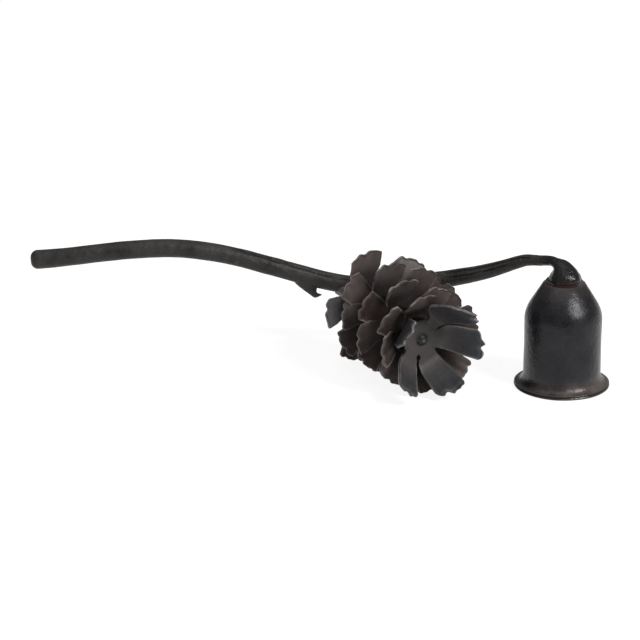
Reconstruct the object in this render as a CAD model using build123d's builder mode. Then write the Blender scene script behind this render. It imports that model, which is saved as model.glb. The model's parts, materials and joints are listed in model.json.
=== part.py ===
import os
from math import asin, atan2, cos, radians, sin, tan

from build123d import *

os.makedirs("parts", exist_ok=True)

# Bell, turned about +Z with its mouth on the ground plane
bell_radius = 19.2
bell_wall = 2.2
bell_height = 53.6
bell_rim_radius = 23.8
bell_rim_edge = 2.4
bell_shoulder_height = 34.5
bell_shoulder_round = 16.5
bell_shoulder_lean = 31.5
bell_top_radius = 10.0

# Riveted neck joint on top of the bell
seat_washer_radius = 9.0
seat_washer_thickness = 1.2
burr_washer_radius = 7.0
burr_washer_thickness = 1.5
tenon_radius = 3.0
tenon_head_radius = 4.6
tenon_head_height = 2.4
rivet_clearance = 0.2

# Branch, a forged round bar that thins from the grip to the neck and spreads into a foot
branch_radius = 4.75
branch_reach = 268.0
branch_sweep = 55.0
branch_drop = 28.0
neck_rise = 7.8
branch_end_round = 3.6
foot_radius = 8.4

# Route of the bar from the neck to the grip end: reach, sweep and drop shares, bar radius share
branch_shares = (
    (0.029, 0.127, 0.004, 0.53),
    (0.060, 0.256, 0.080, 0.62),
    (0.092, 0.375, 0.235, 0.71),
    (0.124, 0.485, 0.409, 0.77),
    (0.168, 0.617, 0.604, 0.87),
    (0.212, 0.731, 0.758, 0.92),
    (0.270, 0.905, 0.934, 0.95),
    (0.326, 1.000, 1.039, 0.97),
    (0.412, 1.030, 1.040, 0.98),
    (0.480, 1.015, 0.874, 1.00),
    (0.525, 1.000, 0.739, 1.01),
    (0.582, 1.000, 0.579, 1.02),
    (0.639, 1.000, 0.449, 1.01),
    (0.696, 1.000, 0.369, 0.99),
    (0.753, 1.000, 0.346, 0.98),
    (0.810, 1.000, 0.379, 0.99),
    (0.867, 1.000, 0.439, 1.00),
    (0.924, 1.000, 0.509, 1.00),
    (1.000, 1.000, 0.574, 1.02),
)
cone_reach_share = 0.412
twig_reach_share = 0.480

# Foot sections from the seat to the neck: rise share, forward share, lean, radius share of the foot
foot_shares = (
    (0.00, -0.05, 0.0, 1.00),
    (0.32, -0.04, 0.0, 0.905),
    (0.67, 0.02, 8.0, 0.667),
    (0.98, 0.33, 36.0, 0.405),
)

# Broken twig under the bar
twig_root_length = 5.4
twig_root_width = 3.6
twig_tip_radius = 2.1
twig_root_depth = 3.0
twig_length = 13.5
twig_lean = 27.0
weld_gap = 0.25

# Pine cone: five rosettes of cut sheet on a shouldered stem that leaves the bar's lower front
cone_turn = 29.5
cone_dip = 1.2
cone_hang = 3.1
stem_radius = 3.2
stem_length = 25.2
rod_radius = 2.5
rod_clearance = 0.15
rivet_radius = 3.3
rivet_height = 2.0
spacer_radius = 5.0
front_spacing = 6.8
ring_spacing = 16.3
sheet = 1.2
disc_radius = 10.0
petal_reach = 30.4
petal_cup = 16.5
petal_half_width = 7.7
petal_bow = 0.7
petal_bend_start = 11.0
petal_bend_reach = 14.0
slit_width = 0.9
slit_hole_radius = 0.8
wave_height = 0.35
wave_count = 5
overrun = 1.0

# Petal angles about the cone's axis, front rosette first, counted from level on the right
rosette_angles = (
    (0, 68, 150, 234, 285),
    (12, 55, 102, 148, 190, 232, 280, 328),
    (12, 56, 100, 146, 189, 230, 278, 326),
    (6, 52, 93, 138, 178, 219, 270, 318),
    (52, 102, 177, 250, 322),
)

# Each rosette's shares of the petal reach and of the forward cup
rosette_shares = (
    (0.83, 1.00),
    (0.91, 0.65),
    (0.92, 0.43),
    (0.94, 0.41),
    (0.96, 0.43),
)

# Lean of the cone's outline: petals on one side reach further, those on another cup more
reach_lean_share = 0.05
reach_lean_angle = 345.0
cup_lean_share = 0.15
cup_lean_angle = 60.0

# Petal outline: where its sides reach their shoulder, and how wide it is there
petal_shoulder_share = 0.55
petal_shoulder_width_share = 0.93

# Points that several pieces share
seat_height = bell_height + seat_washer_thickness
neck_height = seat_height + neck_rise
stations = [
    Vector(-branch_reach * along, branch_sweep * across, neck_height - branch_drop * down)
    for along, across, down, _ in branch_shares
]
bar_radii = [branch_radius * share for _, _, _, share in branch_shares]
reach_shares = [share for share, _, _, _ in branch_shares]
cone_station = reach_shares.index(cone_reach_share)
twig_station = reach_shares.index(twig_reach_share)


def station_plane(index):
    before = stations[max(index - 1, 0)]
    after = stations[min(index + 1, len(stations) - 1)]
    heading = after - before
    return Plane(stations[index], x_dir=heading.cross(Vector(0, 0, 1)), z_dir=heading)


def cap_middle(radius, height):
    ball = (radius * radius + height * height) / (2 * height)
    half = asin(radius / ball) / 2
    return ball * sin(half), height - ball * (1 - cos(half))


# Bell shell with a straight bore and a coved flange
cove = bell_rim_radius - bell_radius
lean = radians(bell_shoulder_lean)
round_end = (
    bell_radius - bell_shoulder_round * (1 - cos(lean)),
    bell_shoulder_height + bell_shoulder_round * sin(lean),
)
round_middle = (
    bell_radius - bell_shoulder_round * (1 - cos(lean / 2)),
    bell_shoulder_height + bell_shoulder_round * sin(lean / 2),
)
inner_round = bell_shoulder_round - bell_wall
inner_end = (
    bell_radius - bell_wall - inner_round * (1 - cos(lean)),
    bell_shoulder_height + inner_round * sin(lean),
)
inner_middle = (
    bell_radius - bell_wall - inner_round * (1 - cos(lean / 2)),
    bell_shoulder_height + inner_round * sin(lean / 2),
)
ceiling = bell_height - bell_wall
ceiling_radius = inner_end[0] - (ceiling - inner_end[1]) * (round_end[0] - bell_top_radius) / (
    bell_height - round_end[1]
)
with BuildPart() as bell:
    with BuildSketch(Plane.XZ):
        with BuildLine():
            Polyline(
                (bell_radius - bell_wall, bell_shoulder_height),
                (bell_radius - bell_wall, 0),
                (bell_rim_radius, 0),
                (bell_rim_radius, bell_rim_edge),
            )
            RadiusArc((bell_rim_radius, bell_rim_edge), (bell_radius, bell_rim_edge + cove), cove)
            Line((bell_radius, bell_rim_edge + cove), (bell_radius, bell_shoulder_height))
            ThreePointArc((bell_radius, bell_shoulder_height), round_middle, round_end)
            Polyline(
                round_end,
                (bell_top_radius, bell_height),
                (tenon_radius + rivet_clearance, bell_height),
                (tenon_radius + rivet_clearance, ceiling),
                (ceiling_radius, ceiling),
                inner_end,
            )
            ThreePointArc(inner_end, inner_middle, (bell_radius - bell_wall, bell_shoulder_height))
        make_face()
    revolve(axis=Axis.Z)
bell.part.label = "bell"
export_step(bell.part, "parts/bell.step")

# Thin lip washer between the foot and the bell
with BuildPart() as seat_washer:
    with BuildSketch(Plane.XY.offset(bell_height)):
        Circle(seat_washer_radius)
        Circle(tenon_radius + rivet_clearance, mode=Mode.SUBTRACT)
    extrude(amount=seat_washer_thickness)
seat_washer.part.label = "seat_washer"
export_step(seat_washer.part, "parts/seat_washer.step")

# Burr washer that the tenon is riveted over, inside the bell
with BuildPart() as burr_washer:
    with BuildSketch(Plane.XY.offset(ceiling - burr_washer_thickness)):
        Circle(burr_washer_radius)
        Circle(tenon_radius + rivet_clearance, mode=Mode.SUBTRACT)
    extrude(amount=burr_washer_thickness)
burr_washer.part.label = "burr_washer"
export_step(burr_washer.part, "parts/burr_washer.step")

# Branch: foot, neck and bar in one loft, with the riveted tenon below
foot_reach = Vector(stations[0].X, stations[0].Y, 0)
foot_heading = foot_reach.normalized()
foot_side = foot_heading.cross(Vector(0, 0, 1))
head_level = ceiling - burr_washer_thickness
head_middle = cap_middle(tenon_head_radius, tenon_head_height)
with BuildPart() as branch:
    for rise, forward, tilt, spread in foot_shares:
        centre = Vector(0, 0, seat_height + neck_rise * rise) + foot_reach * forward
        normal = Vector(0, 0, cos(radians(tilt))) + foot_heading * sin(radians(tilt))
        with BuildSketch(Plane(centre, x_dir=foot_side, z_dir=normal)):
            Circle(foot_radius * spread)
    for index, radius in enumerate(bar_radii):
        with BuildSketch(station_plane(index)):
            Circle(radius)
    loft()
    fillet(branch.edges().sort_by(Axis.X)[0], radius=branch_end_round)
    with BuildSketch(Plane.XY.offset(head_level)):
        Circle(tenon_radius)
    extrude(amount=seat_height - head_level)
    with BuildSketch(Plane.XZ):
        with BuildLine():
            Line((0, head_level), (tenon_head_radius, head_level))
            ThreePointArc(
                (tenon_head_radius, head_level),
                (head_middle[0], head_level - head_middle[1]),
                (0, head_level - tenon_head_height),
            )
            Line((0, head_level - tenon_head_height), (0, head_level))
        make_face()
    revolve(axis=Axis.Z)
branch.part.label = "branch"
export_step(branch.part, "parts/branch.step")

# Twig stub, coped to the underside of the bar and tapering to its broken end
twig_slant = radians(twig_lean)
twig_plane = Plane(
    stations[twig_station],
    x_dir=(cos(twig_slant), 0, sin(twig_slant)),
    z_dir=(sin(twig_slant), 0, -cos(twig_slant)),
)
with BuildPart() as twig_stub:
    with BuildSketch(twig_plane.offset(twig_root_depth)):
        Ellipse(twig_root_length, twig_root_width)
    with BuildSketch(twig_plane.offset(twig_length)):
        Circle(twig_tip_radius)
    loft()
    with BuildSketch(station_plane(twig_station)):
        Circle(bar_radii[twig_station] + weld_gap)
    extrude(amount=twig_length, both=True, mode=Mode.SUBTRACT)
twig_stub.part.label = "twig_stub"
export_step(twig_stub.part, "parts/twig_stub.step")

# Cone frame: +Z of the frame points out of the cone's tip, X lies level
turn = radians(cone_turn)
dip = radians(cone_dip)
cone_out = Vector(cos(dip) * sin(turn), -cos(dip) * cos(turn), -sin(dip))
cone_level = Vector(cos(turn), sin(turn), 0)
cone_length = front_spacing + (len(rosette_shares) - 2) * ring_spacing
cone_root = stations[cone_station] - Vector(0, 0, cone_hang)
cone_plane = Plane(cone_root + cone_out * (stem_length + cone_length), x_dir=cone_level, z_dir=cone_out)
disc_depths = [0.0] + [front_spacing + ring_spacing * step for step in range(len(rosette_shares) - 1)]


def front_side(reach, cup, side):
    slope = atan2(cup, reach - petal_bend_reach)
    corner = (petal_bend_reach - side * tan(slope / 2), side)
    end = (reach + overrun - side * sin(slope), cup + overrun * tan(slope) + side * cos(slope))
    bend = (petal_bend_reach - petal_bend_start) / tan(slope / 2)
    FilletPolyline((disc_radius / 2, side), corner, end, radius=bend - side)
    return end


def flared_side(reach, cup, side):
    bend = 2 * atan2(cup, reach - disc_radius)
    middle = ((disc_radius + reach) / 2 - side * sin(bend), cup / 2 + side * cos(bend))
    end = (reach + overrun, cup + side)
    Line((disc_radius / 2, side), (disc_radius, side))
    rise = TangentArc((disc_radius, side), middle, tangent=(1, 0))
    TangentArc(middle, (reach, cup + side), tangent=rise % 1)
    Line((reach, cup + side), end)
    return end


def petal_tip(reach):
    points = []
    for step in range(wave_count + 1):
        across = 2 * step / wave_count - 1
        points.append((reach - petal_bow * across * across, petal_half_width * across))
    return points


# Rosettes: a disc with bent petals, slit between them and scalloped at the tips
for number, (reach_share, cup_share) in enumerate(rosette_shares):
    angles = rosette_angles[number]
    next_angles = angles[1:] + (angles[0] + 360,)
    petal_side = flared_side if number else front_side
    closest = min(later - angle for angle, later in zip(angles, next_angles))
    base_half = disc_radius * sin(radians(closest / 2)) - slit_width / 2
    petals = []
    for angle in angles:
        reach_lean = reach_lean_share * cos(radians(angle - reach_lean_angle))
        cup_lean = cup_lean_share * cos(radians(angle - cup_lean_angle))
        reach = petal_reach * (reach_share + reach_lean)
        cup = petal_cup * (cup_share + cup_lean)
        shoulder_at = disc_radius + (reach - disc_radius) * petal_shoulder_share
        shoulder_room = shoulder_at * sin(radians(closest / 2)) - slit_width / 2
        shoulder_half = min(petal_half_width * petal_shoulder_width_share, shoulder_room)
        tip = petal_tip(reach)
        with BuildPart() as petal:
            with BuildSketch(Plane.XZ):
                with BuildLine():
                    low_end = petal_side(reach, cup, -sheet / 2)
                    high_end = petal_side(reach, cup, sheet / 2)
                    Line((disc_radius / 2, -sheet / 2), (disc_radius / 2, sheet / 2))
                    Line(low_end, high_end)
                make_face()
            extrude(amount=petal_half_width + overrun, both=True)
            with BuildSketch(Plane.XY.offset(-sheet)):
                with BuildLine():
                    Polyline(
                        tip[0],
                        (shoulder_at, -shoulder_half),
                        (disc_radius, -base_half),
                        (disc_radius / 2, -base_half),
                        (disc_radius / 2, base_half),
                        (disc_radius, base_half),
                        (shoulder_at, shoulder_half),
                        tip[-1],
                    )
                    for step in range(wave_count):
                        SagittaArc(tip[step], tip[step + 1], wave_height * (-1) ** step)
                make_face()
            extrude(amount=cup + 4 * sheet, mode=Mode.INTERSECT)
        petals.append(petal.part)
    with BuildPart(cone_plane.offset(-disc_depths[number])) as rosette:
        Cylinder(disc_radius, sheet)
        for angle, shape in zip(angles, petals):
            with PolarLocations(0, 1, start_angle=angle):
                add(shape)
        if number == 0:
            for angle, later in zip(angles, next_angles):
                with PolarLocations(disc_radius, 1, start_angle=(angle + later) / 2):
                    Cylinder(slit_hole_radius, sheet + 2 * overrun, mode=Mode.SUBTRACT)
        Cylinder(rod_radius + rod_clearance, sheet + 2 * overrun, mode=Mode.SUBTRACT)
    rosette.part.label = f"rosette_{number + 1}"
    export_step(rosette.part, f"parts/rosette_{number + 1}.step")

# Spacer tubes between the rosettes
for number in range(len(rosette_shares) - 1):
    gap = disc_depths[number + 1] - disc_depths[number] - sheet
    with BuildPart() as spacer:
        with BuildSketch(cone_plane.offset(-disc_depths[number] - sheet / 2 - gap)):
            Circle(spacer_radius)
            Circle(rod_radius + rod_clearance, mode=Mode.SUBTRACT)
        extrude(amount=gap)
    spacer.part.label = f"spacer_{number + 1}"
    export_step(spacer.part, f"parts/spacer_{number + 1}.step")

# Cone stem: domed rivet head, rod through the rosettes, shoulder and a coped end on the bar
shoulder = -cone_length - sheet / 2
rivet_middle = cap_middle(rivet_radius, rivet_height)
with BuildPart(cone_plane) as cone_stem:
    with BuildSketch(Plane(cone_plane.origin, x_dir=cone_plane.x_dir, z_dir=-cone_plane.y_dir)):
        with BuildLine():
            Polyline(
                (0, sheet / 2 + rivet_height),
                (0, -cone_length - stem_length),
                (stem_radius, -cone_length - stem_length),
                (stem_radius, shoulder),
                (rod_radius, shoulder),
                (rod_radius, sheet / 2),
                (rivet_radius, sheet / 2),
            )
            ThreePointArc(
                (rivet_radius, sheet / 2),
                (rivet_middle[0], sheet / 2 + rivet_middle[1]),
                (0, sheet / 2 + rivet_height),
            )
        make_face()
    revolve(axis=Axis(cone_plane.origin, cone_plane.z_dir))
    with BuildSketch(station_plane(cone_station)):
        Circle(bar_radii[cone_station] + weld_gap)
    extrude(amount=stem_length, both=True, mode=Mode.SUBTRACT)
cone_stem.part.label = "cone_stem"
export_step(cone_stem.part, "parts/cone_stem.step")
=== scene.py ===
import json
from math import cos, pi, radians, sin, tan

import bpy
from mathutils import Matrix, Vector, noise


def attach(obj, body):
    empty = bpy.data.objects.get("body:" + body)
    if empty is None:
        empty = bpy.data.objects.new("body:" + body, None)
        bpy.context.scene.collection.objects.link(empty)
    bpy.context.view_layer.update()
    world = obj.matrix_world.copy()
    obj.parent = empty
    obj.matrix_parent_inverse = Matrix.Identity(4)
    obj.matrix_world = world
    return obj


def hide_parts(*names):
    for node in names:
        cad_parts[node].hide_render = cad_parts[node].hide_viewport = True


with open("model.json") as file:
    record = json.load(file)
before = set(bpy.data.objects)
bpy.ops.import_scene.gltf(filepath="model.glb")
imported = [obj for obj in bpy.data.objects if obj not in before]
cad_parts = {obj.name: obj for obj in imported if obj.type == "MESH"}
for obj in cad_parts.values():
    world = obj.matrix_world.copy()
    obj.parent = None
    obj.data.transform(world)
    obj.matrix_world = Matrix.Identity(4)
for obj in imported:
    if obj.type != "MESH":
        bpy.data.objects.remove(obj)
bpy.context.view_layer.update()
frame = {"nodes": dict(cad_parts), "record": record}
nodes = frame["nodes"]

# Floor, in metres: it lies just under the object
floor_size = 12.0
floor_place = (0.0, 3.0, -0.0002)

# Lamps: name, place and width in metres, power in watts
lamps = (
    ("key", Vector((0.80, -0.72, 0.95)), 0.58, 22.0),
    ("top", Vector((-0.2, -0.2, 1.4)), 1.5, 6.0),
    ("fill", Vector((-1.0, -0.9, 0.7)), 1.8, 2.2),
)

# Light of the surroundings, own glow of the floor, and its greys for other light and for the camera
world_level = 0.24
backdrop_glow = 0.86
paper_tone = 0.8
shadow_tone = 0.25

# Lengths below are in millimetres
mm = 0.001

# Camera, fitted to the photograph: a long lens, 20 degrees above level and square to the handle
camera_lens = 180.0
camera_sensor = 36.0
camera_far = 20000.0
camera_target = Vector((-120.4, 0.0, 33.8))
camera_place = Vector((-120.4, -1490.4, 570.4))

# Iron: refraction and usual sheen of its wax, the painted shade of laps and of the bell's groove, and the
# colour of polished skin
wax_refraction = 1.45
plain_sheen = 0.25
crease_shade_colour = (0.004, 0.003, 0.003)
polish_colour = (0.006, 0.006, 0.006)

# Noise in the iron: usual scale of the mottles, their detail and roughness, then scale and detail
plain_patch = 70.0
mottle_noise = (6.0, 0.65)
speck_noise = (900.0, 3.0)
mark_noise = (300.0, 4.0)
petal_mottle_noise = (110.0, 5.0)
petal_speck_noise = (800.0, 3.0)
petal_mark_noise = (200.0, 2.0)

# Ranges: the two values that a mask runs between, and what it gives at either end
scale_range = (0.35, 0.68, 0.0, 1.0)
speck_range = (0.55, 0.75, 0.0, 0.12)
edge_range = (0.52, 0.58, 0.0, 0.7)
worn_range = (0.35, 0.65, 0.25, 1.0)
polish_range = (0.0, 1.0, 0.0, 0.85)
petal_mottle_range = (0.3, 0.7, -0.35, 0.35)
petal_tone_range = (-0.6, 1.0, 0.0, 1.0)
petal_pale_range = (1.0, 2.4, 0.0, 1.0)
petal_root_tint_and_shade_range = (1.0, 0.3, 0.0, 0.85)
petal_worn_range = (0.35, 0.6, 0.25, 0.9)

# Roughness: the mottle values it runs between, and how far it goes below and above its level
rough_range = (0.3, 0.7)
rough_spread = (0.1, 0.14)
petal_rough_spread = (0.08, 0.1)

# Height of the specks and hammer marks; those of the petals have their strength first
speck_height = 0.4
mark_height = 1.2
petal_speck_bump = (0.2, 0.3)
petal_mark_bump = (0.25, 1.0)

# Looks of forged iron: colours of its scale and worn edges (on the bell's flange also a painted
# highlight), roughness, strength of specks and marks
iron_looks = {
    "bell_iron": dict(
        dark=(0.002, 0.002, 0.0025), light=(0.013, 0.0135, 0.0175), worn=(0.090, 0.072, 0.064),
        rough=0.27, grain=0.2, hammer=0.26, sheen=0.30, patch=75.0,
    ),
    "branch_iron": dict(
        dark=(0.011, 0.010, 0.0095), light=(0.046, 0.043, 0.041), worn=(0.078, 0.071, 0.067),
        rough=0.46, grain=0.3, hammer=0.7, patch=55.0,
    ),
    "rivet_iron": dict(
        dark=(0.012, 0.011, 0.011), light=(0.034, 0.032, 0.032), worn=(0.12, 0.11, 0.10),
        rough=0.36, grain=0.2, hammer=0.3,
    ),
    "seat_rust": dict(
        dark=(0.012, 0.011, 0.011), light=(0.030, 0.028, 0.027), worn=(0.06, 0.055, 0.05),
        rough=0.6, grain=0.2, hammer=0.2, front=(0.022, 0.005, 0.006),
    ),
}

# Looks of sheet iron: colours of its scale, of pale petals, of roots (painted shade behind the front
# rosette) and of worn edges, roughness
petal_looks = {
    "petal_iron": dict(
        dark=(0.019, 0.011, 0.009), light=(0.094, 0.074, 0.069), pale=(0.28, 0.27, 0.27),
        # The dark root here is painted shade under the rosette in front
        root=(0.009, 0.006, 0.005), worn=(0.17, 0.15, 0.14), rough=0.55,
    ),
    "front_petal_iron": dict(
        # The bluish light colour is a painted reflection of bluish light from the right
        dark=(0.012, 0.011, 0.011), light=(0.044, 0.048, 0.053), pale=(0.15, 0.15, 0.15),
        # The front rosette's lighter, browner root and disc are their own colour
        root=(0.055, 0.047, 0.047), worn=(0.17, 0.16, 0.155), rough=0.5,
    ),
}

# Red scale in the seam under the foot shows only in front: where it starts and where it is full
front_start = 6.0
front_full = 7.0

# Bell: body and shoulder as in the solids, over a rim with a thinner lip and a fine groove
bell_radius = 19.2
bell_wall = 2.2
bell_height = 53.6
bell_top_radius = 10.0
bell_hole_radius = 3.2
shoulder_height = 34.5
shoulder_round = 16.5
shoulder_lean = radians(31.5)
rim_radius = 23.8
rim_edge = 1.3
rim_round = 0.5
flare_top = 7.4
groove_depth = 0.7

# Rounded edge of the bell's crown: how far it goes out, down and in from the corner
crown_out = 0.6
crown_down = 0.5
crown_in = 0.4

# Mesh of the bell: steps round it, along its curves, lip, bore and wall, and where lip and wall start
bell_turns = 160
curve_steps = 14
lip_steps = 4
lip_start = 1.6 * pi
bore_rows = 8
wall_rows = 12
wall_start = 0.3

# How the bell is out of round, then the side where its rim's wear grows into a painted highlight, its
# plain wear, and how much more there is on that side
swell_turns = 2.0
swell_height = 14.0
swell_depth = 0.16
painted_highlight_side = radians(-50.0)
worn_level = 0.5
painted_highlight_change = 0.4

# Cone frame, as in the solids: middle of the front disc, turned to the right and a little down
cone_front = Vector((-70.6, -13.75, 28.7))
cone_turn = radians(29.5)
cone_dip = radians(1.2)
disc_depths = (0.0, 6.8, 23.1, 39.4, 55.7)

# Discs of sheet with a rod hole; the face is level at first and sinks under the petals' roots
sheet = 1.2
sheet_round = 0.3
disc_radius = 10.0
disc_hole = 2.65
disc_turns = 120
disc_proud = 0.03
disc_level = 7.2
disc_sink = 0.12
disc_edge = 0.05
disc_tone = 0.2

# Slits of the front rosette, with a punched hole at the end of one of them
slit_width = 0.9
widest_room = radians(60.0)
slit_hole = 1.1
holed_slit = 3
hole_place = 8.6

# Petals: how they widen from root to tip
petal_root = 6.5
root_half_width = 5.4
shoulder_share = 0.55
shoulder_width_share = 0.93

# Petals: how they bend up, those of the front rosette in one bend between two radii, and are dished
front_bend_start = 11.0
front_bend_end = 17.0
flare_share = 0.45
root_bend = 0.06
petal_dish = 0.9
dish_half_width = 8.0
dish_level = 0.3

# Petals: bow and round corners of the tip, with two waves of scallops and a ruffle
bow_share = 0.42
corner_round = 0.9
corner_power = 10
petal_scallop = 0.42
scallop_power = 4
scallop_wave = 7.0
fine_share = 0.6
fine_wave = 12.0
fine_phase = 2.1
petal_ruffle = 0.3
ruffle_wave = 9.0
ruffle_phase = 1.3
ruffle_start = 0.7
number_phase = 1.7
ring_phase = 2.3

# Petals: how wear starts outside the disc and fades from the edge, and where root ends and tip starts
wear_run = 3.0
worn_edge = 0.2
clean_edge = 1.3
root_end = 0.15
tip_start = 0.9

# Mesh of a petal
petal_rows = 26
petal_columns = 20

# Petals of each rosette, front first: angle, corner reach, cup, half width, twist, root swing, tone (also
# painted light and shade)
rosettes = (
    (
        (-5, 24.3, 16.0, 7.6, -13, 0, 0.35),
        (55, 20.0, 16.0, 13.2, 4, -14, 0.00),
        (150, 18.2, 12.3, 8.2, -12, 0, 0.15),
        (229, 25.0, 15.3, 7.3, -2, 8, 0.00),
        (290, 24.0, 15.8, 8.0, 14, 0, -0.05),
    ),
    (
        (15, 29.6, 9.5, 6.8, -15, 0, -0.35),
        (67, 25.8, 7.0, 8.6, 14, 0, 0.45),
        (92, 21.4, 9.0, 9.4, 13, 0, 0.10),
        (145, 25.6, 7.8, 8.3, -10, 0, -0.10),
        (186, 22.4, 8.5, 8.9, -6, 0, -0.35),
        (232, 24.8, 2.0, 7.9, 5, 0, 0.00),
        (268, 27.0, 8.5, 7.0, 4, 0, -0.20),
        (318, 30.4, 12.0, 6.8, -12, 0, 0.00),
    ),
    (
        (29, 31.0, 10.5, 7.4, -14, 0, 0.40),
        (68, 30.6, 6.2, 9.2, 8, 0, 0.25),
        (94, 23.8, 7.5, 9.6, 9, 0, -0.10),
        (144, 27.4, 5.0, 7.9, 6, 0, -0.50),
        (184, 25.0, 5.5, 8.5, -5, 0, 0.10),
        (221, 25.0, 1.5, 7.5, 10, 0, 0.00),
        (278, 27.3, 6.0, 7.7, 0, 0, -0.20),
        (326, 28.2, 7.0, 7.7, 0, 0, -0.20),
    ),
    (
        (29, 32.5, 8.5, 7.2, -12, 0, 0.20),
        (65, 31.4, 6.8, 9.0, 3, 0, 1.60),
        (88, 27.8, 7.5, 9.8, 10, 0, 0.45),
        (135, 29.6, 4.4, 8.1, 11, 0, 0.50),
        (168, 25.0, 5.2, 7.2, 13, 0, 0.40),
        (208, 25.2, 2.0, 7.7, 12, 0, 0.05),
        (270, 27.8, 5.0, 7.7, 0, 0, -0.20),
        (318, 28.7, 6.5, 7.7, 0, 0, -0.20),
    ),
    (
        (42, 28.0, 6.0, 7.7, 0, 0, 0.20),
        (96, 28.6, 6.2, 10.2, 12, 0, 0.80),
        (177, 24.6, 6.0, 7.9, 6, 0, 2.40),
        (250, 27.6, 4.5, 7.7, 0, 0, 0.00),
        (322, 29.2, 6.0, 7.7, 0, 0, 0.00),
    ),
)

# Forged skin of the branch: grid of the new mesh, hammer dents and slow ripples stretched along X
forge_grid = 0.45
dent_size = 7.0
dent_depth = 0.25
dent_limit = 0.6
dent_level = 0.3
dent_stretch = 0.5
ripple_size = 16.0
ripple_depth = 0.2

# Foot of the branch, along X: it has more dents and a polished skin
foot_start = -14.0
foot_full = -7.0
foot_dent = 0.5
foot_dent_size = 5.0
polish_depth = 0.34

# Laps along the bar, sunk and darkened with painted shade: how deep and wide they are, how far round they
# show, waver, fade and patches
lap_depth = 0.55
lap_width = 0.55
lap_back = 0.45
bar_radius = 4.7
waver_depth = 0.09
waver_size = 5.0
lap_fade_in = 0.25
lap_fade_out = 0.15
lap_patch_size = 9.0
lap_patch_row = 7.0
lap_patch_low = -0.6

# Laps: where each starts and ends along X, and how far its line faces up at either end
laps = (
    (-170.0, -96.0, 0.90, 0.72),
    (-64.0, -10.0, 0.86, 0.60),
    (-60.0, -24.0, 0.34, 0.10),
)

# Broken twig: ends of its middle line, lean of its sections, and its dents beside the branch's
twig_root = Vector((-127.4, 55.8, 37.0))
twig_tip = Vector((-121.6, 55.2, 26.6))
twig_lean = radians(27.0)
twig_turns = 32
twig_dent_share = 0.6
twig_dent_scale = 2.0

# Sections of the twig: share along it, reach to the left and to the right, half thickness
twig_rows = (
    (0.00, 6.6, 6.4, 3.4),
    (0.25, 5.6, 5.6, 3.3),
    (0.45, 4.6, 4.2, 3.0),
    (0.62, 3.7, 2.2, 2.6),
    (0.75, 3.0, 0.9, 2.2),
    (0.86, 2.5, 0.8, 1.9),
    (0.95, 2.0, 2.0, 1.5),
    (1.00, 1.0, 2.6, 0.7),
)


def smooth(low, high, value):
    share = min(max((value - low) / (high - low), 0.0), 1.0)
    return share * share * (3.0 - 2.0 * share)


def grey(level):
    return (level, level, level, 1.0)


def new_material(name):
    material = bpy.data.materials.new(name)
    material.use_nodes = True
    material.node_tree.nodes.clear()
    return material


class Graph:
    """A small helper that adds and joins shader nodes."""

    # Places of the colour sockets of a mix node
    mix_first = 6
    mix_last = 7
    mix_result = 2

    def __init__(self, tree):
        self.tree = tree

    def add(self, kind, **values):
        node = self.tree.nodes.new(kind)
        for name, value in values.items():
            key = name.replace("_", " ")
            if key in node.inputs:
                node.inputs[key].default_value = value
            else:
                setattr(node, name, value)
        return node

    def join(self, source, target):
        self.tree.links.new(source, target)

    def feed(self, socket, value):
        """Sets a socket to a colour or a number, or joins it to the output of another node."""
        if isinstance(value, tuple):
            socket.default_value = (*value, 1.0)
        elif isinstance(value, float):
            socket.default_value = value
        else:
            self.join(value, socket)

    def attribute(self, name):
        return self.add("ShaderNodeAttribute", attribute_name=name).outputs["Fac"]

    def noise(self, coords, scale, detail, roughness=0.55):
        node = self.add("ShaderNodeTexNoise", Scale=scale, Detail=detail, Roughness=roughness)
        self.join(coords, node.inputs["Vector"])
        return node.outputs["Fac"]

    def ramp(self, value, low, high, first, last):
        node = self.add("ShaderNodeMapRange")
        node.inputs["From Min"].default_value = low
        node.inputs["From Max"].default_value = high
        node.inputs["To Min"].default_value = first
        node.inputs["To Max"].default_value = last
        self.join(value, node.inputs["Value"])
        return node.outputs["Result"]

    def maths(self, operation, *values):
        node = self.add("ShaderNodeMath", operation=operation)
        for socket, value in zip(node.inputs, values):
            self.feed(socket, value)
        return node.outputs[0]

    def blend(self, factor, first, last):
        node = self.add("ShaderNodeMix", data_type="RGBA")
        self.join(factor, node.inputs["Factor"])
        self.feed(node.inputs[self.mix_first], first)
        self.feed(node.inputs[self.mix_last], last)
        return node.outputs[self.mix_result]

    def bump(self, height, strength, distance, normal=None):
        node = self.add("ShaderNodeBump", Strength=strength, Distance=distance * mm)
        self.join(height, node.inputs["Height"])
        if normal:
            self.join(normal, node.inputs["Normal"])
        return node.outputs["Normal"]

    def mix_shaders(self, factor, first, last):
        node = self.add("ShaderNodeMixShader")
        for socket, value in zip(node.inputs, (factor, first, last)):
            self.join(value, socket)
        return node.outputs[0]

    def end(self, surface, kind="ShaderNodeOutputMaterial"):
        self.join(surface, self.add(kind).inputs["Surface"])

    def end_iron(self, colour, roughness, normal, sheen):
        shader = self.add("ShaderNodeBsdfPrincipled", IOR=wax_refraction)
        shader.inputs["Specular IOR Level"].default_value = sheen
        self.join(colour, shader.inputs["Base Color"])
        self.join(roughness, shader.inputs["Roughness"])
        self.join(normal, shader.inputs["Normal"])
        self.end(shader.outputs["BSDF"])


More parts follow.
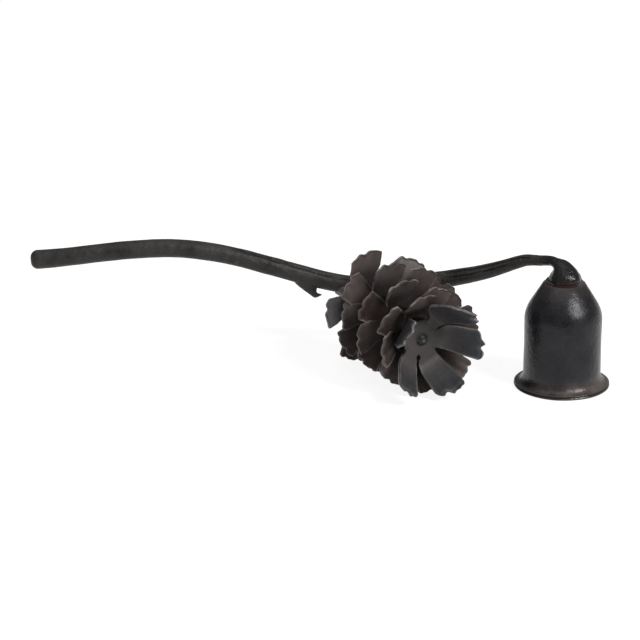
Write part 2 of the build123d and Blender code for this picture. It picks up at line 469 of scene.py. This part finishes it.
def iron(name, dark, light, worn, rough, grain, hammer, sheen=plain_sheen, patch=plain_patch, front=None):
    """Blackened iron: mottled scale, a pebbly skin, shallow hammer marks, edges worn lighter (on the
    bell's rim also a painted highlight) and painted shade in laps and grooves.
    """
    material = new_material(name)
    graph = Graph(material.node_tree)
    coords = graph.add("ShaderNodeTexCoord").outputs["Object"]
    mottle = graph.noise(coords, patch, *mottle_noise)
    speck = graph.noise(coords, *speck_noise)
    marks = graph.noise(coords, *mark_noise)
    edge = graph.add("ShaderNodeNewGeometry").outputs["Pointiness"]
    polish = graph.attribute("polish")
    wear_and_highlight = graph.maths("MULTIPLY", graph.attribute("wear_and_highlight"), graph.ramp(mottle, *worn_range))
    colour = graph.blend(graph.ramp(mottle, *scale_range), dark, light)
    colour = graph.blend(graph.ramp(speck, *speck_range), colour, worn)
    colour = graph.blend(graph.ramp(edge, *edge_range), colour, worn)
    # Worn colour: real wear, and on the bell's flange also a painted highlight towards the key lamp
    colour = graph.blend(wear_and_highlight, colour, worn)
    if front:
        sides = graph.add("ShaderNodeSeparateXYZ")
        graph.join(coords, sides.inputs[0])
        in_front = graph.ramp(sides.outputs["Y"], -front_start * mm, -front_full * mm, 0.0, 1.0)
        colour = graph.blend(in_front, colour, front)
    colour = graph.blend(graph.ramp(polish, *polish_range), colour, polish_colour)
    # Painted shade darkens the laps of the branch and the bell's groove
    colour = graph.blend(graph.attribute("crease_shade"), colour, crease_shade_colour)
    plain = graph.ramp(mottle, *rough_range, rough - rough_spread[0], rough + rough_spread[1])
    roughness = graph.maths("MULTIPLY_ADD", polish, -polish_depth, plain)
    normal = graph.bump(speck, grain, speck_height)
    normal = graph.bump(marks, hammer, mark_height, normal)
    graph.end_iron(colour, roughness, normal, sheen)
    return material


def petal_iron(name, dark, light, pale, root, worn, rough):
    """Sheet iron: each petal has its own tone, which also holds painted light and shade, a root darkened
    with painted shade behind and of another colour in front, and edges worn pale.
    """
    material = new_material(name)
    graph = Graph(material.node_tree)
    coords = graph.add("ShaderNodeTexCoord").outputs["Object"]
    mottle = graph.noise(coords, *petal_mottle_noise)
    speck = graph.noise(coords, *petal_speck_noise)
    marks = graph.noise(coords, *petal_mark_noise)
    tone_and_light = graph.attribute("tone_and_light")
    # A petal's tone also paints light and shade on it, and above one it turns pale
    mixed = graph.maths("ADD", graph.ramp(mottle, *petal_mottle_range), tone_and_light)
    wear_and_highlight = graph.maths("MULTIPLY", graph.attribute("wear_and_highlight"), graph.ramp(mottle, *petal_worn_range))
    colour = graph.blend(graph.ramp(mixed, *petal_tone_range), dark, light)
    colour = graph.blend(graph.ramp(tone_and_light, *petal_pale_range), colour, pale)
    # Roots: painted shade on the petals and discs behind, the disc's own browner colour in front
    colour = graph.blend(graph.ramp(graph.attribute("outward"), *petal_root_tint_and_shade_range), colour, root)
    colour = graph.blend(wear_and_highlight, colour, worn)
    smoothest = rough - petal_rough_spread[0]
    roughest = rough + petal_rough_spread[1]
    roughness = graph.ramp(mottle, *rough_range, smoothest, roughest)
    normal = graph.bump(speck, *petal_speck_bump)
    normal = graph.bump(marks, *petal_mark_bump, normal)
    graph.end_iron(colour, roughness, normal, plain_sheen)
    return material


materials = {name: iron(name, **look) for name, look in iron_looks.items()}
materials.update({name: petal_iron(name, **look) for name, look in petal_looks.items()})

slots = {row["node"]: row["material_slot"] for row in frame["record"]["subparts"]}
for name, node in nodes.items():
    node.data.materials.clear()
    node.data.materials.append(materials[slots[name]])
nodes["seat_washer"].data.materials[0] = materials["seat_rust"]


def add_piece(name, node, points, faces):
    """Makes a smooth mesh piece from millimetre points; it rides the root and replaces its node."""
    mesh = bpy.data.meshes.new(name)
    mesh.from_pydata([Vector(point) * mm for point in points], [], faces)
    mesh.polygons.foreach_set("use_smooth", [True] * len(mesh.polygons))
    mesh.materials.append(materials[slots[node]])
    mesh.update()
    piece = bpy.data.objects.new(name, mesh)
    bpy.context.scene.collection.objects.link(piece)
    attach(piece, "root")
    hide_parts(node)
    return piece


def mark_points(piece, name, values):
    """Keeps one number for each point of a mesh, which its material reads."""
    piece.data.attributes.new(name, "FLOAT", "POINT").data.foreach_set("value", values)


def ring_corners(rows, turns, closed=True):
    """Corners of the faces between rows of points that go round: here, right, above, above right."""
    for row in range(rows if closed else rows - 1):
        above = (row + 1) % rows
        for turn in range(turns):
            right = (turn + 1) % turns
            yield row * turns + turn, row * turns + right, above * turns + turn, above * turns + right


def arc(centre, radius, start, end, steps):
    angles = [start + (end - start) * step / steps for step in range(steps + 1)]
    return [(centre[0] + radius * cos(angle), centre[1] + radius * sin(angle)) for angle in angles]


def bell_outline():
    """The bell's section, from the bore's ceiling down the bore, round the rim and up to the crown."""
    bore = bell_radius - bell_wall
    round_middle = (bell_radius - shoulder_round, shoulder_height)
    outside = arc(round_middle, shoulder_round, 0.0, shoulder_lean, curve_steps)
    inside = arc(round_middle, shoulder_round - bell_wall, shoulder_lean, 0.0, curve_steps)
    ceiling = bell_height - bell_wall
    slope = (outside[-1][0] - bell_top_radius) / (bell_height - outside[-1][1])
    ceiling_radius = inside[0][0] - (ceiling - inside[0][1]) * slope
    lip = rim_radius - rim_round
    groove = [
        (rim_radius, rim_edge - groove_depth),
        (lip, rim_edge - groove_depth / 4),
        (lip - groove_depth / 4, rim_edge),
        (lip, rim_edge + groove_depth / 4),
        (lip + groove_depth / 2, rim_edge + groove_depth / 2),
    ]
    flare = lip - groove_depth / 2
    flare_wide = flare - bell_radius
    flare_tall = flare_top - rim_edge - groove_depth
    flare_curve = arc((0.0, 0.0), 1.0, 1.5 * pi, pi, curve_steps)
    wall = [wall_start + (1 - wall_start) * step / wall_rows for step in range(wall_rows)]
    rows = [(bell_hole_radius, ceiling), (ceiling_radius, ceiling)] + inside
    rows += [(bore, shoulder_height * (1 - step / bore_rows)) for step in range(1, bore_rows)]
    rows += [(bore, rim_round)] + arc((bore + rim_round, rim_round), rim_round, pi, 1.5 * pi, lip_steps)
    rows += [(lip, 0.0)] + arc((lip, rim_round), rim_round, lip_start, 2 * pi, lip_steps) + groove
    rows += [(flare + flare_wide * across, flare_top + flare_tall * up) for across, up in flare_curve]
    rows += [(bell_radius, shoulder_height * share) for share in wall] + outside
    rows += [(bell_top_radius + crown_out, bell_height - crown_down)]
    rows += [(bell_top_radius - crown_in, bell_height), (bell_hole_radius, bell_height)]
    return rows


def build_bell():
    """Turned bell, a little out of round as forged work is."""
    outline = bell_outline()
    points, wear_and_highlight, crease_shade = [], [], []
    for radius, height in outline:
        outside = radius > bell_radius - bell_wall / 2
        in_groove = radius > bell_radius and abs(height - rim_edge) < groove_depth / 2
        worn = 1.0 - smooth(rim_edge, flare_top + 2 * rim_edge, height) if outside else 0.0
        for turn in range(bell_turns):
            angle = 2 * pi * turn / bell_turns
            way = Vector((cos(angle), sin(angle), 0.0))
            wave = Vector((way.x * swell_turns, way.y * swell_turns, height / swell_height))
            swell = noise.noise(wave) * swell_depth
            reach = radius + swell * min(radius / bell_radius, 1.0)
            points.append(way * reach + Vector((0.0, 0.0, height)))
            # Wear grows towards the right front, where it is a painted highlight as well as wear
            wear_and_highlight.append(worn * (worn_level + painted_highlight_change * cos(angle - painted_highlight_side)))
            # The groove gets painted shade
            crease_shade.append(1.0 if in_groove else 0.0)
    corners = ring_corners(len(outline), bell_turns)
    faces = [(right, above_right, above, here) for here, right, above, above_right in corners]
    piece = add_piece("bell_forged", "bell", points, faces)
    mark_points(piece, "wear_and_highlight", wear_and_highlight)
    mark_points(piece, "crease_shade", crease_shade)


class Petal:
    """One bent petal: its middle surface over a share along (0 root, 1 tip) and across (-1 to 1)."""

    def __init__(self, ring, number, room_low, room_high):
        angle, self.reach, self.cup, self.half, twist, swing, self.tone_and_light = rosettes[ring][number]
        self.front = ring == 0
        self.hole_after = self.front and number == holed_slit
        self.hole_before = self.front and number == holed_slit + 1
        self.angle = radians(angle)
        self.twist = radians(twist)
        self.swing = radians(swing)
        self.rooms = (radians(room_low) / 2, radians(room_high) / 2)
        self.length = self.reach - petal_root
        self.bow = bow_share * self.half * self.half / self.reach
        self.dish = petal_dish * (self.half / dish_half_width) ** 2
        self.phase = number_phase * number + ring_phase * ring

    def rise(self, radius):
        if self.front:
            middle = (front_bend_start + front_bend_end) / 2
            steep = self.cup / (self.reach - middle)
            if radius < front_bend_start:
                return 0.0
            if radius < front_bend_end:
                bend = front_bend_end - front_bend_start
                return steep * (radius - front_bend_start) ** 2 / (2 * bend)
            return steep * (radius - middle)
        share = max((radius - disc_radius) / (self.reach - disc_radius), 0.0)
        flared = 2 * share * share if share < 0.5 else 1 - 2 * (1 - min(share, 1.0)) ** 2
        straight = (1 - flare_share) * max(share - root_bend, 0.0) / (1 - root_bend)
        return self.cup * (flare_share * flared + straight)

    def width(self, radius, across):
        shoulder = disc_radius + (self.reach - disc_radius) * shoulder_share
        middle = self.half * shoulder_width_share
        wide = middle + (self.half - middle) * smooth(shoulder, self.reach, radius)
        if radius < shoulder:
            share = max((radius - disc_radius) / (shoulder - disc_radius), 0.0)
            wide = root_half_width + (middle - root_half_width) * share
        if self.front:
            swung = self.swing * (1.0 - smooth(disc_radius, self.reach, radius))
            room = self.rooms[1] - swung if across > 0 else self.rooms[0] + swung
            wide = min(wide, radius * tan(min(room, widest_room)) - slit_width / 2)
        return wide - self.notch(radius, across)

    def notch(self, radius, across):
        """Room for the punched hole at the end of one slit of the front rosette."""
        if across > 0 and self.hole_after or across < 0 and self.hole_before:
            return slit_hole * max(1.0 - ((radius - hole_place) / slit_hole) ** 2, 0.0) ** 0.5
        return 0.0

    def point(self, along, across):
        scallop = sin(scallop_wave * across + self.phase)
        scallop += fine_share * sin(fine_wave * across + fine_phase * self.phase)
        tip = self.reach + self.bow * (1 - across * across) - corner_round * across ** corner_power
        tip += petal_scallop * scallop * (1 - across ** scallop_power)
        radius = petal_root + (tip - petal_root) * along
        outward = smooth(disc_radius, self.reach, radius)
        side = across * self.width(radius, across)
        lean = self.twist * outward
        ruffle = petal_ruffle * sin(ruffle_wave * across + ruffle_phase * self.phase)
        ruffle *= smooth(ruffle_start, 1.0, along)
        dish = self.dish * (across * across - dish_level) * outward
        height = self.rise(radius) + side * sin(lean) + ruffle + dish
        local = Vector((radius, side * cos(lean), height))
        return Matrix.Rotation(self.angle + self.swing * (1.0 - outward), 3, "Z") @ local

    def normal(self, along, across):
        step = 0.01
        along_way = self.point(along + step, across) - self.point(along - step, across)
        across_way = self.point(along, across + step) - self.point(along, across - step)
        return along_way.cross(across_way).normalized()

    def marks(self, along, edge):
        """Wear, tone and share outward of a point with this share along and distance from the edge."""
        clear = smooth(disc_radius, disc_radius + wear_run, petal_root + self.length * along)
        worn = clear * (1.0 - smooth(worn_edge, clean_edge, edge))
        return worn, self.tone_and_light, smooth(root_end, tip_start, along)


def sheet_petal(petal, points, faces, marks):
    """Adds a petal with two faces and a rounded edge to the lists of a rosette."""
    start = len(points)
    inset_along = sheet_round / petal.length
    inset_across = sheet_round / petal.half
    for side in (1, -1):
        for row in range(petal_rows + 1):
            for column in range(petal_columns + 1):
                along = row / petal_rows * (1 - inset_along)
                across = (2 * column / petal_columns - 1) * (1 - inset_across)
                edge = min((1 - along) * petal.length, (1 - abs(across)) * petal.half)
                offset = petal.normal(along, across) * (side * sheet / 2)
                points.append(petal.point(along, across) + offset)
                marks.append(petal.marks(along, edge))
    width = petal_columns + 1
    size = (petal_rows + 1) * width
    for row in range(petal_rows):
        for column in range(petal_columns):
            here = start + row * width + column
            under = here + size
            faces.append((here, here + width, here + width + 1, here + 1))
            faces.append((under, under + 1, under + width + 1, under + width))
    rim = [(row, 0) for row in range(petal_rows)]
    rim += [(petal_rows, column) for column in range(petal_columns)]
    rim += [(petal_rows - row, petal_columns) for row in range(petal_rows)]
    rim += [(0, petal_columns - column) for column in range(petal_columns)]
    edge_start = len(points)
    for row, column in rim:
        points.append(petal.point(row / petal_rows, 2 * column / petal_columns - 1))
        marks.append(petal.marks(row / petal_rows, 0.0))
    for index, (row, column) in enumerate(rim):
        after = (index + 1) % len(rim)
        top = start + row * width + column
        next_top = start + rim[after][0] * width + rim[after][1]
        faces.append((top, next_top, edge_start + after, edge_start + index))
        faces.append((edge_start + index, edge_start + after, next_top + size, top + size))


def disc_section(edge):
    """Closed section of a disc, from its rod hole to its edge."""
    thick = sheet / 2 + disc_proud
    top = [(disc_hole, thick / 2), (disc_hole + sheet_round, thick)]
    top += [(petal_root, thick), (disc_level, thick)]
    top += [(edge - disc_edge, thick - disc_sink), (edge, thick - disc_sink - disc_edge)]
    return top + [(radius, -height) for radius, height in reversed(top)]


def rosette_disc(slits):
    """Points, faces and marks of a disc with its rod hole, notched where one of these slits ends."""
    points, marks = [], []
    for turn in range(disc_turns):
        angle = 2 * pi * turn / disc_turns
        edge = disc_radius
        for slit in slits:
            away = disc_radius * abs((angle - slit + pi) % (2 * pi) - pi)
            if away < slit_hole:
                edge = disc_radius - 2 * slit_hole * (1 - (away / slit_hole) ** 2) ** 0.5
        section = disc_section(edge)
        for radius, height in section:
            points.append(Vector((radius * cos(angle), radius * sin(angle), height)))
            # Discs take the root colour: painted shade behind the front rosette
            marks.append((0.0, disc_tone, 0.0))
    corners = ring_corners(disc_turns, len(section))
    faces = [(here, right, above_right, above) for here, right, above, above_right in corners]
    return points, faces, marks


def build_rosettes():
    out = Vector((cos(cone_dip) * sin(cone_turn), -cos(cone_dip) * cos(cone_turn), -sin(cone_dip)))
    level = Vector((cos(cone_turn), sin(cone_turn), 0.0))
    up = out.cross(level)
    turned = Matrix((level, up, out)).transposed()
    for ring, rows in enumerate(rosettes):
        angles = [row[0] for row in rows]
        rooms = [(angles[(index + 1) % len(angles)] - angle) % 360 for index, angle in enumerate(angles)]
        slits = [radians(angle + room / 2) for angle, room in zip(angles, rooms)]
        points, faces, marks = rosette_disc(slits[holed_slit:holed_slit + 1] if ring == 0 else [])
        for number in range(len(rows)):
            petal = Petal(ring, number, rooms[number - 1], rooms[number])
            sheet_petal(petal, points, faces, marks)
        middle = cone_front - out * disc_depths[ring]
        placed = [middle + turned @ point for point in points]
        node = f"rosette_{ring + 1}"
        piece = add_piece(f"{node}_bent", node, placed, faces)
        for index, name in enumerate(("wear_and_highlight", "tone_and_light", "outward")):
            mark_points(piece, name, [mark[index] for mark in marks])


def remeshed(node, grid):
    """A finer copy of a node's mesh, with an even grid of points, in world coordinates."""
    copy = bpy.data.objects.new("copy", nodes[node].data.copy())
    copy.matrix_world = nodes[node].matrix_world
    bpy.context.scene.collection.objects.link(copy)
    fine = copy.modifiers.new("fine", "REMESH")
    fine.mode = "VOXEL"
    fine.voxel_size = grid * mm
    bpy.context.view_layer.update()
    ready = copy.evaluated_get(bpy.context.evaluated_depsgraph_get())
    mesh = bpy.data.meshes.new_from_object(ready)
    mesh.transform(copy.matrix_world)
    bpy.data.objects.remove(copy)
    return mesh


def forged(place):
    """Hammer dents and slow ripples of a forged skin, in millimetres."""
    cells = noise.voronoi(place / dent_size)[0]
    dent = min(cells[0] * cells[0], dent_limit) - dent_level
    return dent * dent_depth + noise.noise(place / ripple_size) * ripple_depth


def lap_share(place, normal):
    """How deep a point lies in one of the long laps that forging left along the bar."""
    deepest = 0.0
    for start, end, first, last in laps:
        share = (place.x - start) / (end - start)
        if 0.0 < share < 1.0 and normal.y < lap_back:
            waver = waver_depth * noise.noise(Vector((place.x / waver_size, first, 0.0)))
            away = (normal.z - first - (last - first) * share - waver) * bar_radius
            fade = smooth(0.0, lap_fade_in, share) * smooth(0.0, lap_fade_out, 1.0 - share)
            level = noise.noise(Vector((place.x / lap_patch_size, lap_patch_row, first)))
            patchy = smooth(lap_patch_low, 0.0, level)
            deepest = max(deepest, fade * patchy * max(1 - (away / lap_width) ** 2, 0.0))
    return deepest


def build_branch():
    mesh = remeshed("branch", forge_grid)
    points, depths, feet = [], [], []
    for vertex in mesh.vertices:
        place = vertex.co / mm
        depth = lap_share(place, vertex.normal)
        foot = smooth(foot_start, foot_full, place.x)
        offset = forged(Vector((place.x * dent_stretch, place.y, place.z))) - lap_depth * depth
        offset += foot * foot_dent * noise.noise(place / foot_dent_size)
        points.append(place + vertex.normal * offset)
        depths.append(depth)
        feet.append(foot)
    faces = [tuple(face.vertices) for face in mesh.polygons]
    bpy.data.meshes.remove(mesh)
    piece = add_piece("branch_forged", "branch", points, faces)
    # How deep a point lies in a lap also sets its painted shade
    mark_points(piece, "crease_shade", depths)
    mark_points(piece, "polish", feet)


def build_twig():
    """Thorn-like stub of a torn twig, rooted in the bar, with a hollow torn out of its end."""
    along = Vector((cos(twig_lean), 0.0, sin(twig_lean)))
    points = []
    for share, left, right, thick in twig_rows:
        middle = twig_root.lerp(twig_tip, share)
        for turn in range(twig_turns):
            angle = 2 * pi * turn / twig_turns
            reach = (right if cos(angle) > 0 else left) * cos(angle)
            place = middle + along * reach + Vector((0.0, thick * sin(angle), 0.0))
            points.append(place + place.normalized() * twig_dent_share * forged(place * twig_dent_scale))
    corners = ring_corners(len(twig_rows), twig_turns, closed=False)
    faces = [(here, above, above_right, right) for here, right, above, above_right in corners]
    last = (len(twig_rows) - 1) * twig_turns
    faces.append(tuple(range(twig_turns)))
    faces.append(tuple(last + turn for turn in reversed(range(twig_turns))))
    add_piece("twig_torn", "twig_stub", points, faces)


def seen_directly(graph):
    """One for rays from the camera, also by way of gloss or glass, and nought for other rays."""
    rays = graph.add("ShaderNodeLightPath")
    seen = rays.outputs["Is Camera Ray"]
    for kind in ("Is Glossy Ray", "Is Transmission Ray"):
        seen = graph.maths("MAXIMUM", seen, rays.outputs[kind])
    return seen


def floor_material():
    """White paper: it keeps the object's soft shadow, is white elsewhere and is clear from below."""
    material = new_material("floor_white")
    graph = Graph(material.node_tree)
    paper = graph.add("ShaderNodeBsdfDiffuse", Color=grey(paper_tone))
    thin = graph.add("ShaderNodeBsdfDiffuse", Color=grey(shadow_tone))
    glow = graph.add("ShaderNodeEmission", Strength=backdrop_glow)
    clear = graph.add("ShaderNodeBsdfTransparent")
    lit = graph.add("ShaderNodeAddShader")
    graph.join(thin.outputs[0], lit.inputs[0])
    graph.join(glow.outputs[0], lit.inputs[1])
    above = graph.mix_shaders(seen_directly(graph), paper.outputs[0], lit.outputs[0])
    from_below = graph.add("ShaderNodeNewGeometry").outputs["Backfacing"]
    graph.end(graph.mix_shaders(from_below, above, clear.outputs[0]))
    return material


def build_stage():
    bpy.ops.mesh.primitive_plane_add(size=floor_size, location=floor_place)
    floor = bpy.context.object
    floor.name = "floor"
    floor.data.materials.append(floor_material())
    world = bpy.data.worlds.new("studio")
    bpy.context.scene.world = world
    world.use_nodes = True
    world.node_tree.nodes.clear()
    graph = Graph(world.node_tree)
    backdrop = graph.add("ShaderNodeBackground", Color=grey(1.0), Strength=world_level)
    graph.end(backdrop.outputs[0], "ShaderNodeOutputWorld")


def add_aimed(name, data, place, way):
    """Puts a lamp or camera at a place in metres, looking along a way."""
    item = bpy.data.objects.new(name, data)
    item.location = place
    item.rotation_euler = way.to_track_quat("-Z", "Y").to_euler()
    bpy.context.scene.collection.objects.link(item)
    return item


def area_light(name, place, size, power):
    light = bpy.data.lights.new(name, "AREA")
    light.shape = "DISK"
    light.size = size
    light.energy = power
    add_aimed(name, light, place, camera_target * mm - place)


def build_camera():
    data = bpy.data.cameras.new("camera")
    data.lens = camera_lens
    data.sensor_width = camera_sensor
    data.clip_end = camera_far * mm
    camera = add_aimed("camera", data, camera_place * mm, camera_target - camera_place)
    bpy.context.scene.camera = camera


build_bell()
build_rosettes()
build_branch()
build_twig()
build_stage()
for lamp in lamps:
    area_light(*lamp)
build_camera()
bpy.context.scene.view_settings.view_transform = "Standard"
